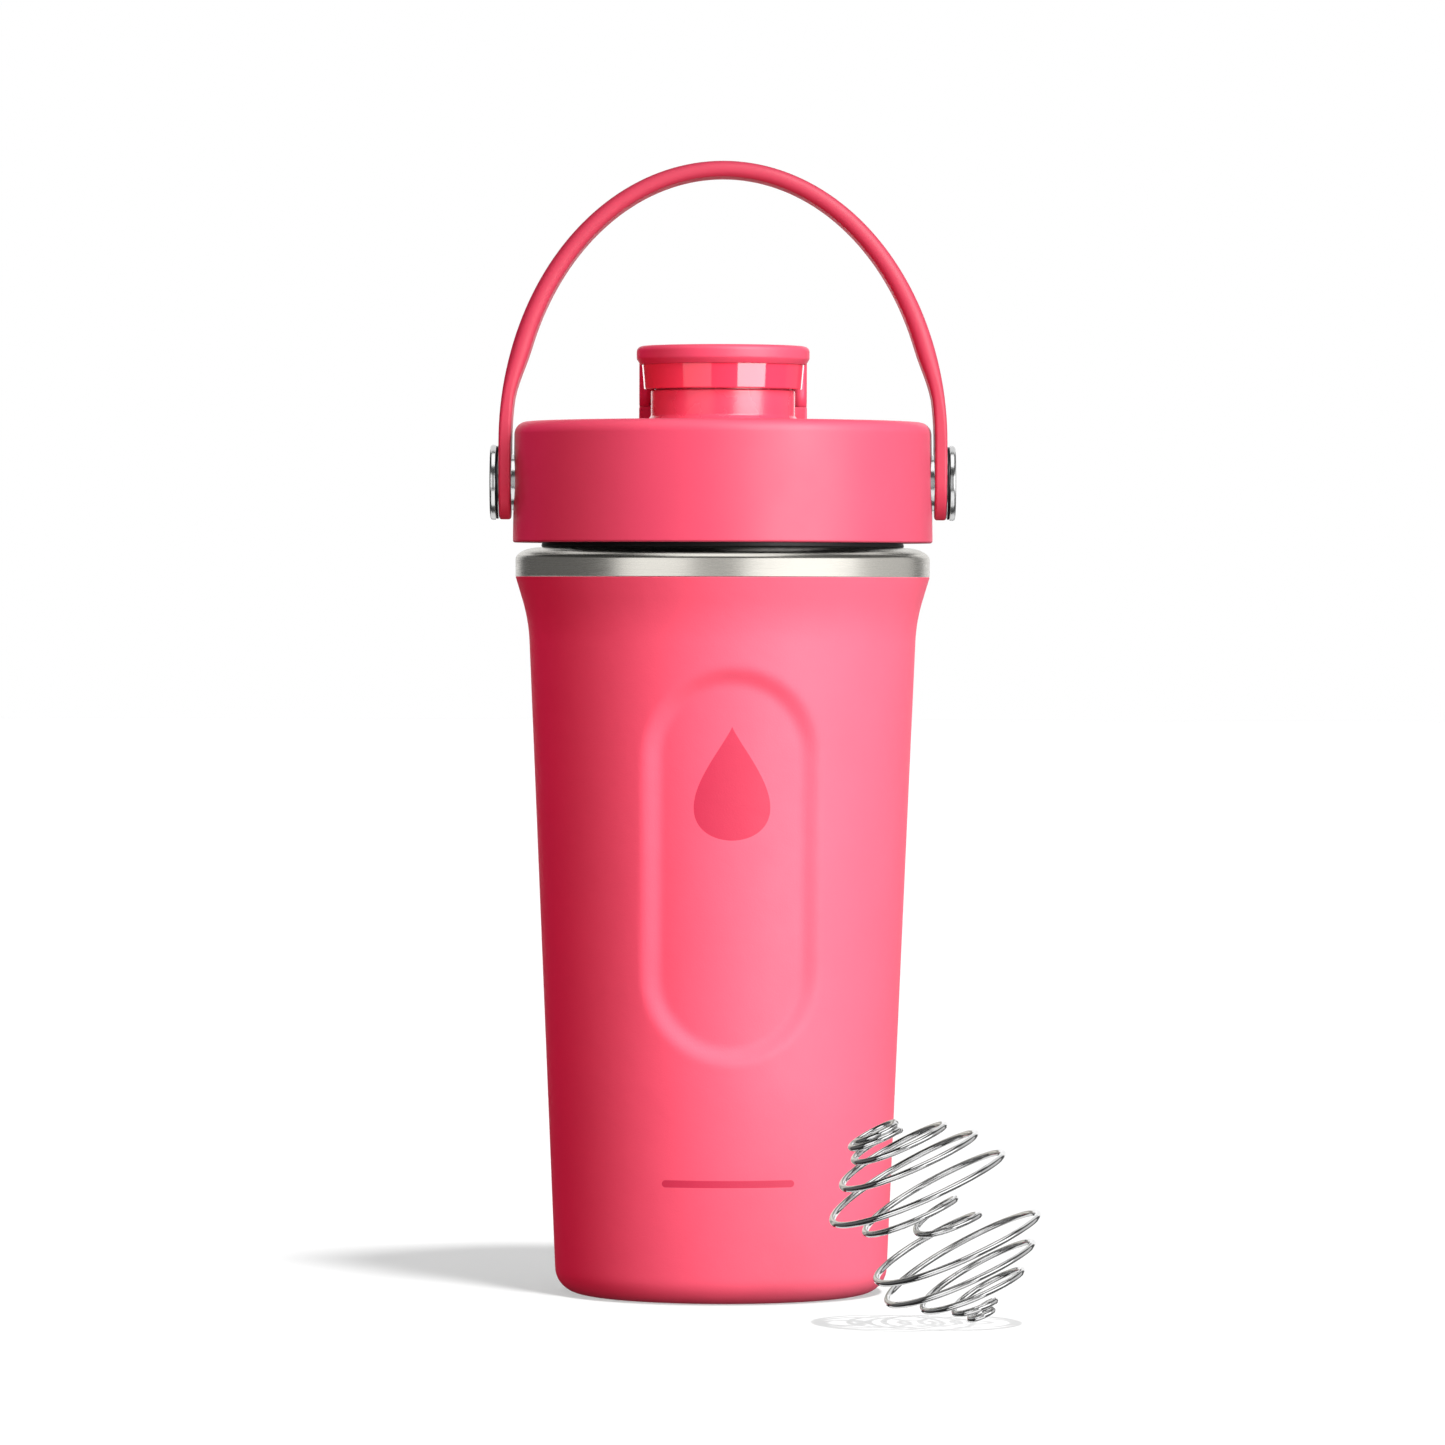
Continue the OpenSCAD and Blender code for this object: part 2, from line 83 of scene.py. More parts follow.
BASE_R = 38.98 * MM
WALL_TAPER = 0.04286
FLARE_SLOPE = 0.303
BASE_CORNER_R = 6 * MM
FOOT_R = 31.6 * MM
SHELL_T = 0.6 * MM
BEND_Z = (RIM_R - FLARE_SLOPE * PAINT_Z - BASE_R) / (WALL_TAPER - FLARE_SLOPE)
BEND_HALF = 5 * MM

RECESS_W = 37 * MM
RECESS_H = 87.6 * MM
RECESS_Z = 102 * MM
RECESS_DEPTH = 1.7 * MM
RECESS_TURN = math.radians(3.2)
RECESS_IN, RECESS_OUT = 2.1 * MM, 2.7 * MM

LID_TOP_Z = 205.5 * MM
LID_DRAFT = 0.35 * MM
LID_CORNER_R = 3 * MM
LID_T = 2.2 * MM
NECK_R = 17 * MM


# ---------- mesh helpers ----------

def smoothstep(low, high, value):
    t = min(1.0, max(0.0, (value - low) / (high - low)))
    return t * t * (3 - 2 * t)


def arc(centre, radii, start, end, steps):
    """Points of an arc about centre, from the angle start to end in degrees, on an ellipse of those radii."""
    points = []
    for i in range(steps + 1):
        a = math.radians(start + (end - start) * i / steps)
        points.append((centre[0] + radii[0] * math.cos(a), centre[1] + radii[1] * math.sin(a)))
    return points


def rounded(corners, steps=5):
    """The closed outline through corners, each (x, y) or (x, y, fillet radius)."""
    points = []
    count = len(corners)
    for i, corner in enumerate(corners):
        here = Vector(corner[:2])
        radius = corner[2] if len(corner) > 2 else 0
        if radius <= 0:
            points.append(tuple(here))
            continue
        back = (Vector(corners[i - 1][:2]) - here).normalized()
        ahead = (Vector(corners[(i + 1) % count][:2]) - here).normalized()
        half = back.angle(ahead) / 2
        centre = here + (back + ahead).normalized() * radius / math.sin(half)
        start = here + back * radius / math.tan(half) - centre
        end = here + ahead * radius / math.tan(half) - centre
        turn = math.atan2(start.x * end.y - start.y * end.x, start.dot(end))
        for k in range(steps + 1):
            a = turn * k / steps
            points.append((centre.x + start.x * math.cos(a) - start.y * math.sin(a),
                           centre.y + start.x * math.sin(a) + start.y * math.cos(a)))
    return points


def revolved(outline, segments=160):
    """A bmesh of the closed outline of (radius, height) points, turned about Z."""
    bm = bmesh.new()
    rings = []
    for radius, height in outline:
        if radius < 1e-7:
            rings.append([bm.verts.new((0, 0, height))] * segments)
            continue
        rings.append([bm.verts.new((radius * math.cos(a), radius * math.sin(a), height))
                      for a in (math.tau * i / segments for i in range(segments))])
    for k, ring in enumerate(rings):
        above = rings[(k + 1) % len(rings)]
        for i in range(segments):
            j = (i + 1) % segments
            corners = [ring[i], ring[j], above[j], above[i]]
            corners = [v for n, v in enumerate(corners) if v not in corners[:n]]
            if len(corners) > 2:
                bm.faces.new(corners)
    return bm


def lofted(loops):
    """A bmesh through loops of points, all the same length, with its ends filled."""
    bm = bmesh.new()
    rows = [[bm.verts.new(p) for p in loop] for loop in loops]
    for low, high in zip(rows, rows[1:]):
        for i in range(len(low)):
            j = (i + 1) % len(low)
            bm.faces.new((low[i], low[j], high[j], high[i]))
    bm.faces.new(rows[0][::-1])
    bm.faces.new(rows[-1])
    return bm


def add_piece(name, bm, material, body, replaces=(), sharp=35, place=None):
    """Makes a piece from bm, shaded smooth apart from edges sharper than that many degrees."""
    bmesh.ops.recalc_face_normals(bm, faces=bm.faces)
    mesh = bpy.data.meshes.new(name)
    bm.to_mesh(mesh)
    bm.free()
    if place is not None:
        mesh.transform(place)
    mesh.materials.append(material)
    mesh.shade_smooth()
    mesh.set_sharp_from_angle(angle=math.radians(sharp))
    piece = bpy.data.objects.new(name, mesh)
    bpy.context.scene.collection.objects.link(piece)
    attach(piece, body)
    weighted = piece.modifiers.new("weighted_normals", "WEIGHTED_NORMAL")
    weighted.keep_sharp = True
    if replaces:
        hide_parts(*replaces)
    return piece


# ---------- materials ----------

def add_node(tree, kind, settings=None, **inputs):
    """A node with its properties set, and its inputs set or linked.

    An input goes by its name, with _ for a space, or by its number, as in i0."""
    made = tree.nodes.new(kind)
    for key, value in (settings or {}).items():
        setattr(made, key, value)
    for key, value in inputs.items():
        numbered = key[0] == "i" and key[1:].isdigit()
        socket = made.inputs[int(key[1:]) if numbered else key.replace("_", " ")]
        if isinstance(value, bpy.types.NodeSocket):
            tree.links.new(value, socket)
        else:
            socket.default_value = value
    return made


def new_material(name, colour, roughness, metallic=0.0, specular=0.5):
    material = bpy.data.materials.new(name)
    material.use_nodes = True
    tree = material.node_tree
    shader = tree.nodes["Principled BSDF"]
    shader.inputs["Base Color"].default_value = colour
    shader.inputs["Roughness"].default_value = roughness
    shader.inputs["Metallic"].default_value = metallic
    shader.inputs["Specular IOR Level"].default_value = specular
    shader.inputs["IOR"].default_value = 1.5
    material.diffuse_color = colour
    return material, tree, shader


def noise(tree, vector, scale, detail=2.0, roughness=0.5):
    return add_node(tree, "ShaderNodeTexNoise", Vector=vector, Scale=scale, Detail=detail,
                    Roughness=roughness).outputs["Fac"]


def spread(tree, value, low, high):
    """Noise, which stays mostly within 0.3..0.7, spread over low..high."""
    return add_node(tree, "ShaderNodeMapRange", Value=value, From_Min=0.3, From_Max=0.7,
                    To_Min=low, To_Max=high).outputs["Result"]


def bump(tree, height, distance, normal=None):
    made = add_node(tree, "ShaderNodeBump", Height=height, Distance=distance, Strength=1.0)
    if normal is not None:
        tree.links.new(normal, made.inputs["Normal"])
    return made.outputs["Normal"]


def math_node(tree, operation, a, b=0.0, clamp=False):
    settings = {"operation": operation, "use_clamp": clamp}
    return add_node(tree, "ShaderNodeMath", settings, i0=a, i1=b).outputs["Value"]


def mixed(tree, factor, a, b):
    made = add_node(tree, "ShaderNodeMix", {"data_type": "RGBA"}, Factor=factor)
    for socket, value in ((made.inputs[6], a), (made.inputs[7], b)):
        if isinstance(value, bpy.types.NodeSocket):
            tree.links.new(value, socket)
        else:
            socket.default_value = value
    return made.outputs[2]


def moulded(name, colour, roughness, grain_scale, grain_depth, specular=0.5, sweep=0.04):
    """Moulded or coated surface: fine grain, a slow change of gloss and a slow change of tone."""
    material, tree, shader = new_material(name, colour, roughness, specular=specular)
    where = add_node(tree, "ShaderNodeTexCoord").outputs["Object"]
    tone = noise(tree, where, 45, 3)
    darker = tuple(c * 0.975 for c in colour[:3]) + (1,)
    lighter = tuple(min(1, c * 1.015) for c in colour[:3]) + (1,)
    tree.links.new(mixed(tree, spread(tree, tone, 0, 1), darker, lighter), shader.inputs["Base Color"])
    tree.links.new(spread(tree, noise(tree, where, 120, 4), roughness - sweep, roughness + sweep),
                   shader.inputs["Roughness"])
    grain = bump(tree, noise(tree, where, grain_scale, 3, 0.6), grain_depth)
    unevenness = bump(tree, noise(tree, where, 260, 1), grain_depth * 1.5, normal=grain)
    tree.links.new(unevenness, shader.inputs["Normal"])
    return material, tree, shader


def metal(name, colour, roughness, stretch, line_depth, sweep=0.05, anisotropic=0.0):
    """Steel with fine lines: stretch scales the coordinates, so the lines run along its smallest axis."""
    material, tree, shader = new_material(name, colour, roughness, metallic=1.0)
    where = add_node(tree, "ShaderNodeTexCoord").outputs["Object"]
    along = add_node(tree, "ShaderNodeMapping", Vector=where, Scale=stretch).outputs["Vector"]
    lines = noise(tree, along, 1.0, 4, 0.65)
    tree.links.new(spread(tree, lines, roughness - sweep, roughness + sweep), shader.inputs["Roughness"])
    tree.links.new(bump(tree, lines, line_depth), shader.inputs["Normal"])
    smudge = noise(tree, where, 70, 3)
    duller = tuple(c * 0.94 for c in colour[:3]) + (1,)
    tree.links.new(mixed(tree, spread(tree, smudge, 0, 1), duller, colour), shader.inputs["Base Color"])
    shader.inputs["Anisotropic"].default_value = anisotropic
    return material, tree, shader


COAT_PINK = (0.84, 0.118, 0.187, 1)
PRINT_PINK = (0.56, 0.035, 0.085, 1)
LID_PINK = (0.64, 0.076, 0.134, 1)
STRAP_PINK = (0.46, 0.041, 0.079, 1)
NECK_PINK = (0.76, 0.066, 0.125, 1)
GLOSS_PINK = (0.84, 0.050, 0.105, 1)
STEEL = (0.72, 0.695, 0.64, 1)
BRIGHT_STEEL = (0.80, 0.80, 0.80, 1)
BLACK = (0.012, 0.012, 0.013, 1)

shell_coat, coat_tree, coat_shader = moulded("powder_coat", COAT_PINK, 0.6, 2600, 0.03 * MM)


def print_mask(tree):
    """1 on the plain water drop in the front recess and on the plain bar below it, 0 elsewhere."""
    where = add_node(tree, "ShaderNodeTexCoord").outputs["Object"]
    split = add_node(tree, "ShaderNodeSeparateXYZ", Vector=where)
    x, y, z = split.outputs
    drop_x, drop_top, drop_h, drop_half = 2.3 * MM, 134.6 * MM, 26.6 * MM, 9 * MM
    across = math_node(tree, "ABSOLUTE", math_node(tree, "SUBTRACT", x, drop_x))
    down = math_node(tree, "DIVIDE", math_node(tree, "SUBTRACT", drop_top, z), drop_h, clamp=True)
    # half width is k * t^1.25 * sqrt(1 - t), which is widest, at 0.354 * k, where t is 0.714
    widening = math_node(tree, "POWER", down, 1.25)
    closing = math_node(tree, "SQRT", math_node(tree, "SUBTRACT", 1.0, down, clamp=True))
    half = math_node(tree, "MULTIPLY", math_node(tree, "MULTIPLY", widening, closing), drop_half / 0.354)
    edge = 0.12 * MM
    drop = math_node(tree, "DIVIDE", math_node(tree, "SUBTRACT", half, across), edge, clamp=True)
    bar_x, bar_z, bar_half, bar_r = 1.6 * MM, 28.3 * MM, 14.5 * MM, 0.9 * MM
    beside = math_node(tree, "ABSOLUTE", math_node(tree, "SUBTRACT", x, bar_x))
    along = math_node(tree, "MAXIMUM", math_node(tree, "SUBTRACT", beside, bar_half), 0.0)
    up = math_node(tree, "SUBTRACT", z, bar_z)
    reach = math_node(tree, "SQRT", math_node(tree, "ADD", math_node(tree, "MULTIPLY", along, along),
                                              math_node(tree, "MULTIPLY", up, up)))
    bar = math_node(tree, "DIVIDE", math_node(tree, "SUBTRACT", bar_r, reach), edge, clamp=True)
    front = math_node(tree, "LESS_THAN", y, 0.0)
    return math_node(tree, "MULTIPLY", math_node(tree, "MAXIMUM", drop, bar), front)


coat_colour = coat_shader.inputs["Base Color"].links[0].from_socket
printed = mixed(coat_tree, print_mask(coat_tree), coat_colour, PRINT_PINK)
coat_tree.links.new(printed, coat_shader.inputs["Base Color"])

lid_plastic = moulded("lid_plastic", LID_PINK, 0.5, 1800, 0.012 * MM)[0]
gloss_plastic = moulded("gloss_plastic", GLOSS_PINK, 0.07, 900, 0.0015 * MM, specular=0.85, sweep=0.02)[0]
neck_plastic = moulded("neck_plastic", NECK_PINK, 0.27, 1200, 0.004 * MM, specular=0.7, sweep=0.03)[0]
strap_rubber = moulded("strap_rubber", STRAP_PINK, 0.55, 900, 0.0012 * MM)[0]
seal_rubber = moulded("seal_rubber", BLACK, 0.55, 1500, 0.02 * MM)[0]
black_plastic = moulded("black_plastic", BLACK, 0.35, 1600, 0.01 * MM)[0]
rim_steel = metal("rim_steel", STEEL, 0.27, (60, 60, 9000), 0.0012 * MM, anisotropic=0.4)[0]
liner_steel = metal("liner_steel", STEEL, 0.3, (90, 90, 5000), 0.003 * MM)[0]
polished_steel = metal("polished_steel", BRIGHT_STEEL, 0.2, (900, 900, 900), 0.0006 * MM, sweep=0.03)[0]
wire_steel = metal("wire_steel", BRIGHT_STEEL, 0.07, (700, 700, 700), 0.001 * MM, sweep=0.03)[0]


# ---------- bottle ----------

def wall_r(z):
    """Outside radius of the painted wall at height z, above its base corner."""
    if z <= BEND_Z - BEND_HALF:
        return BASE_R + WALL_TAPER * z
    if z >= BEND_Z + BEND_HALF:
        return RIM_R - FLARE_SLOPE * (PAINT_Z - z)
    bend = (FLARE_SLOPE - WALL_TAPER) * (z - BEND_Z + BEND_HALF) ** 2 / (4 * BEND_HALF)
    return BASE_R + WALL_TAPER * z + bend


def recess_dent(angle, radius, z):
    """Depth of the grip recesses at that place on the wall. The angle is measured from +X."""
    depth = 0
    for middle in (RECESS_TURN - math.pi / 2, RECESS_TURN + math.pi / 2):
        turn = angle - middle
        if math.cos(turn) < 0.3:
            continue
        across = abs(radius * math.sin(turn))
        up = max(0, abs(z - RECESS_Z) - (RECESS_H - RECESS_W) / 2)
        outside = math.hypot(across, up) - RECESS_W / 2
        depth = max(depth, RECESS_DEPTH * (1 - smoothstep(-RECESS_IN, RECESS_OUT, outside)))
    return depth


def build_shell():
    segments, wall_rows = 300, 160
    corner_r = BASE_CORNER_R
    centre_r = BASE_R + WALL_TAPER * corner_r - corner_r
    wall = [corner_r + (PAINT_Z - corner_r) * i / wall_rows for i in range(1, wall_rows + 1)]

    def outline(inset):
        corner = arc((centre_r, corner_r), (corner_r - inset, corner_r - inset), -90, 0, 10)
        return [(FOOT_R, inset)] + corner + [(wall_r(z) - inset, z) for z in wall]

    outside = outline(0)
    inside = outline(SHELL_T)
    # a thin rounded lip where the paint stops
    lip = 0.15 * MM
    outside[-1] = (RIM_R - lip, PAINT_Z)
    outside.insert(-1, (RIM_R - FLARE_SLOPE * lip, PAINT_Z - lip))
    profile = outside + inside[::-1]
    bm = bmesh.new()
    rings = []
    for radius, z in profile:
        ring = []
        for i in range(segments):
            a = math.tau * i / segments
            r = radius - recess_dent(a, radius, z)
            ring.append(bm.verts.new((r * math.cos(a), r * math.sin(a), z)))
        rings.append(ring)
    for k, ring in enumerate(rings):
        above = rings[(k + 1) % len(rings)]
        for i in range(segments):
            j = (i + 1) % segments
            bm.faces.new((ring[i], ring[j], above[j], above[i]))
    return bm


add_piece("shell_wall", build_shell(), shell_coat, "bottle", ["outer_shell"], sharp=50)


def build_vessel():
    """Inner vessel, with its rolled rim."""
    floor_z, sheet, rim_t, corner = 7 * MM, 0.5 * MM, 0.8 * MM, 8 * MM
    mouth_r, neck_z, lip_round = 40.6 * MM, 150 * MM, 1 * MM
    shoulder_z, shoulder_in = 173 * MM, 6 * MM
    flat_r = RIM_R - shoulder_in
    rise = RIM_TOP_Z - shoulder_z
    corner_z = floor_z + corner
    corner_x = BASE_R + WALL_TAPER * corner_z - SHELL_T - 3.5 * MM - corner
    inside = [(0, floor_z + sheet)]
    inside += arc((corner_x, corner_z), (corner - sheet, corner - sheet), -90, 0, 10)
    inside += [(mouth_r, neck_z)]
    inside += arc((mouth_r + lip_round, RIM_TOP_Z - lip_round), (lip_round, lip_round), 180, 90, 6)
    inside += arc((flat_r, shoulder_z), (shoulder_in, rise), 90, 0, 14)
    inside += [(RIM_R, PAINT_Z + 0.12 * MM), (RIM_R - 0.12 * MM, PAINT_Z)]
    outside = [(0, floor_z)]
    outside += arc((corner_x, corner_z), (corner, corner), -90, 0, 10)
    outside += [(mouth_r + sheet, neck_z), (mouth_r + sheet, RIM_TOP_Z - rim_t - lip_round)]
    outside += arc((flat_r, shoulder_z), (shoulder_in - rim_t, rise - rim_t), 90, 0, 14)
    outside += [(RIM_R - rim_t, PAINT_Z)]
    return revolved(inside + outside[::-1], 200)


def helix_ridge(bm, radius, direction, start_z, first_angle):
    """One thread ridge with a rounded crest, lower at both ends."""
    lead, span, steps = 12 * MM, 105, 28
    reach, end_reach, root, half = 1.1 * MM, 0.4 * MM, 0.35 * MM, 0.95 * MM
    section = [(-root, -half), (0.45, -0.8 * half), (0.9, -0.45 * half), (1, 0), (0.9, 0.45 * half),
               (0.45, 0.8 * half), (-root, half)]
    rows = []
    for i in range(steps + 1):
        turn = span * i / steps
        tall = end_reach + (reach - end_reach) * min(1, min(turn, span - turn) / 15)
        a = math.radians(first_angle + turn)
        z = start_z + lead * turn / 360
        row = []
        for out, up in section:
            r = radius + direction * (out if out < 0 else out * tall)
            row.append(bm.verts.new((r * math.cos(a), r * math.sin(a), z + up)))
        rows.append(row)
    for low, high in zip(rows, rows[1:]):
        for i in range(len(section)):
            j = (i + 1) % len(section)
            bm.faces.new((low[i], low[j], high[j], high[i]))
    bm.faces.new(rows[0])
    bm.faces.new(rows[-1][::-1])


def build_thread(radius, direction, start_z):
    bm = bmesh.new()
    for start in range(3):
        helix_ridge(bm, radius, direction, start_z, 7.5 + 120 * start)
    return bm


vessel = add_piece("vessel_wall", build_vessel(), liner_steel, "bottle", ["inner_vessel"])
vessel.data.materials.append(rim_steel)
for face in vessel.data.polygons:
    if face.center.xy.length > 41 * MM and face.center.z > PAINT_Z - 1 * MM:
        face.material_index = 1
add_piece("mouth_thread", build_thread(40.6 * MM, -1, 162 * MM), liner_steel, "bottle", ["inner_vessel"])

gasket_outline = rounded([
    (39.3 * MM, GASKET_LOW.z, 0.2 * MM), (GASKET_HIGH.x, GASKET_LOW.z, 0.4 * MM),
    (GASKET_HIGH.x - 0.3 * MM, GASKET_HIGH.z, 0.4 * MM), (39.3 * MM, GASKET_HIGH.z, 0.2 * MM)])
add_piece("gasket_ring", revolved(gasket_outline), seal_rubber, "gasket", ["mouth_gasket"])

# ---------- lid ----------


def build_lid():
    top_r = LID_R - LID_DRAFT
    in_top_z = LID_TOP_Z - 2.5 * MM
    outline = rounded([
        (LID_R - LID_T, LID_LOW.z, 0.4 * MM), (LID_R, LID_LOW.z, 0.55 * MM),
        (top_r, LID_TOP_Z, LID_CORNER_R), (NECK_R + 0.25 * MM, LID_TOP_Z, 0.35 * MM),
        (NECK_R + 0.25 * MM, in_top_z), (top_r - LID_T, in_top_z, 1 * MM)], steps=8)
    return revolved(outline, 200)


add_piece("lid_body", build_lid(), lid_plastic, "lid", ["lid_shell"])

AXIS_Y, AXIS_Z = 24 * MM, 212.5 * MM
KNUCKLE_R = 4.3 * MM
ARM_IN, ARM_HALF, ARM_REAR = 16.6 * MM, 20 * MM, 1.2 * MM


def build_saddle():
    """Hinge seat under the cap's arms, with a front lip that follows their round ends."""
    edge, low, seat, lip_top, clear_r = 0.5 * MM, LID_TOP_Z - 1 * MM, 207.5 * MM, 209.6 * MM, 4.6 * MM
    front, rear = AXIS_Y - 5.6 * MM, AXIS_Y + 5 * MM
    start = math.degrees(math.asin((AXIS_Z - lip_top) / clear_r)) + 180

    def outline(inset):
        cradle = arc((AXIS_Y, AXIS_Z), (clear_r + inset, clear_r + inset), start, 255, 8)
        return ([(front + inset, low), (front + inset, lip_top - 0.5 * MM - inset),
                 (front + 0.2 * MM + inset, lip_top - 0.12 * MM - inset),
                 (front + 0.6 * MM + inset, lip_top - inset)]
                + [(y, z - inset) for y, z in cradle]
                + [(AXIS_Y - 0.5 * MM, seat - inset), (rear - inset, seat - inset), (rear - inset, low)])
    loops = []
    for side in (-1, 1):
        steps = range(5) if side < 0 else range(4, -1, -1)
        for k in steps:
            a = math.pi / 2 * k / 4
            loops.append((side * (ARM_HALF - edge * (1 - math.cos(a))), outline(edge * (1 - math.sin(a)))))
    return lofted([[(x, y, z) for y, z in loop] for x, loop in loops])


add_piece("hinge_saddle", build_saddle(), lid_plastic, "lid", ["lid_shell"])


def build_knuckle():
    """Hinge block: a post with a round top, about the pin's axis."""
    half = ARM_IN - 0.4 * MM
    edge = 0.35 * MM
    outline = []
    for inset in (edge, 0.3 * edge, 0):
        r = KNUCKLE_R - inset
        top = arc((AXIS_Y, AXIS_Z), (r, r), 0, 180, 18)
        outline.append(top + [(AXIS_Y - r, LID_TOP_Z - 0.5 * MM), (AXIS_Y + r, LID_TOP_Z - 0.5 * MM)])
    xs = [-half, -half + 0.3 * edge, -half + edge, half - edge, half - 0.3 * edge, half]
    shapes = [outline[0], outline[1], outline[2], outline[2], outline[1], outline[0]]
    return lofted([[(x, y, z) for y, z in shape] for x, shape in zip(xs, shapes)])


add_piece("hinge_knuckle", build_knuckle(), lid_plastic, "lid", ["lid_shell"])

LIP_R, BORE_R, NECK_TOP_Z = 16.2 * MM, 13.8 * MM, 213 * MM


def build_spout():
    lip = (LIP_R - BORE_R) / 2
    flange_low, flange_high = 201.4 * MM, LID_TOP_Z - 2.5 * MM
    flare = LID_TOP_Z + 0.15 * MM
    outline = rounded([
        (BORE_R, SPOUT_LOW.z), (NECK_R, SPOUT_LOW.z), (NECK_R, flange_low), (22 * MM, flange_low),
        (22 * MM, flange_high), (NECK_R, flange_high), (NECK_R, flare), (NECK_R + 0.9 * MM, flare, 0.2 * MM),
        (NECK_R + 0.85 * MM, flare + 0.35 * MM, 0.15 * MM), (NECK_R, flare + 1.3 * MM, 0.8 * MM),
        (NECK_R, NECK_TOP_Z, 0.4 * MM), (LIP_R, NECK_TOP_Z, 0.3 * MM)])
    outline += arc((BORE_R + lip, SPOUT_HIGH.z - lip), (lip, lip), 0, 180, 14)
    return revolved(outline, 160)


add_piece("spout_neck", build_spout(), neck_plastic, "lid", ["spout"])

# ---------- flip cap ----------

COVER_R = 20.4 * MM


def cover_outline(inset):
    """The cap's disc, carried back to the hinge at the arms' width."""
    r = COVER_R - inset
    half = ARM_HALF - inset
    rear = AXIS_Y + ARM_REAR - inset
    corner = 1.6 * MM
    side_angle = math.degrees(math.acos(half / r))
    front = arc((0, 0), (r, r), 180 - side_angle, 360 + side_angle, 72)
    back = [(half, rear - corner)] + arc((half - corner, rear - corner), (corner, corner), 0, 90, 6)[1:]
    back += arc((-half + corner, rear - corner), (corner, corner), 90, 180, 6)
    return front + back


# the rim of the disc, as (inset, height): a tapered lower edge, an upright band and a rounded top edge
COVER_RIM = [
    (1.0 * MM, SKIRT_HIGH.z), (0.78 * MM, SKIRT_HIGH.z + 0.12 * MM), (0.14 * MM, SKIRT_HIGH.z + 1.15 * MM),
    (0.03 * MM, SKIRT_HIGH.z + 1.4 * MM), (0, SKIRT_HIGH.z + 1.7 * MM)]
COVER_RIM += arc((1.5 * MM, COVER_HIGH.z - 1.3 * MM), (1.5 * MM, 1.3 * MM), 180, 90, 8)
cover = lofted([[(x, y, z) for x, y in cover_outline(inset)] for inset, z in COVER_RIM])
add_piece("cap_disc", cover, lid_plastic, "cap", ["cap_cover"])


def build_arm(side):
    """Hinge arm: a plate with rounded edges that hangs from the cap and ends round the pin."""
    edge = 1.5 * MM
    low_x, high_x = sorted((side * ARM_IN, side * ARM_HALF))

    def outline(inset):
        r = KNUCKLE_R - inset
        bottom = arc((AXIS_Y, AXIS_Z), (r, r), 180, 360, 18)
        return bottom + [(AXIS_Y + r, AXIS_Z + 1 * MM), (AXIS_Y + ARM_REAR - inset, SKIRT_HIGH.z + 1.5 * MM),
                         (AXIS_Y - r, SKIRT_HIGH.z + 1.5 * MM)]
    loops = []
    for k in range(5):
        a = math.pi / 2 * k / 4
        loops.append((low_x + edge * (1 - math.cos(a)), outline(edge * (1 - math.sin(a)))))
    for k in range(5):
        a = math.pi / 2 * k / 4
        loops.append((high_x - edge * (1 - math.sin(a)), outline(edge * (1 - math.cos(a)))))
    return lofted([[(x, y, z) for y, z in loop] for x, loop in loops])


add_piece("cap_arm_right", build_arm(1), lid_plastic, "cap", ["cap_cover"])
add_piece("cap_arm_left", build_arm(-1), lid_plastic, "cap", ["cap_cover"])

skirt_outline = rounded([
    (17.15 * MM, SKIRT_LOW.z, 0.25 * MM), (18.6 * MM, SKIRT_LOW.z, 0.3 * MM), (SKIRT_HIGH.x, SKIRT_HIGH.z),
    (17.15 * MM, SKIRT_HIGH.z)])
add_piece("cap_band", revolved(skirt_outline, 160), gloss_plastic, "cap", ["cap_skirt"])

# ---------- carry strap ----------

STRAP_R = STRAP_HIGH.y
STRAP_HALF = STRAP_HIGH.x
ARCH_Z = PIVOT_Z + 9.4 * MM
ARCH_B = STRAP_HIGH.z - ARCH_Z
TAB_T, LIMB_T, CROWN_T = 2.9 * MM, 4.4 * MM, 3.7 * MM


def strap_stations():
    """Stations from the left tab's end to the right's.

    Each is (middle of the thickness, outward normal, thickness, tip angle). The angle is None away from the tabs'
    round ends."""
    tips = [math.radians(a) for a in range(0, 90, 9)]
    stations = []

    def straight(side, height, tip):
        middle = Vector((side * (STRAP_HALF - TAB_T / 2), 0, height))
        stations.append((middle, Vector((side, 0, 0)), TAB_T, tip))

    for tip in tips:
        straight(-1, PIVOT_Z, tip)
    for k in range(4):
        straight(-1, PIVOT_Z + (ARCH_Z - PIVOT_Z) * k / 4, None)
    steps = 96
    for k in range(steps + 1):
        a = math.pi * (1 - k / steps)
        outer = Vector((STRAP_HALF * math.cos(a), 0, ARCH_B * math.sin(a)))
        normal = Vector((math.cos(a) / STRAP_HALF, 0, math.sin(a) / ARCH_B)).normalized()
        height = outer.z + ARCH_Z - PIVOT_Z
        full = LIMB_T * math.cos(a) ** 2 + CROWN_T * math.sin(a) ** 2
        thick = TAB_T + (full - TAB_T) * smoothstep(19 * MM, 33 * MM, height)
        stations.append((outer + Vector((0, 0, ARCH_Z)) - normal * thick / 2, normal, thick, None))
    for k in range(3, -1, -1):
        straight(1, PIVOT_Z + (ARCH_Z - PIVOT_Z) * k / 4, None)
    for tip in reversed(tips):
        straight(1, PIVOT_Z, tip)
    return stations


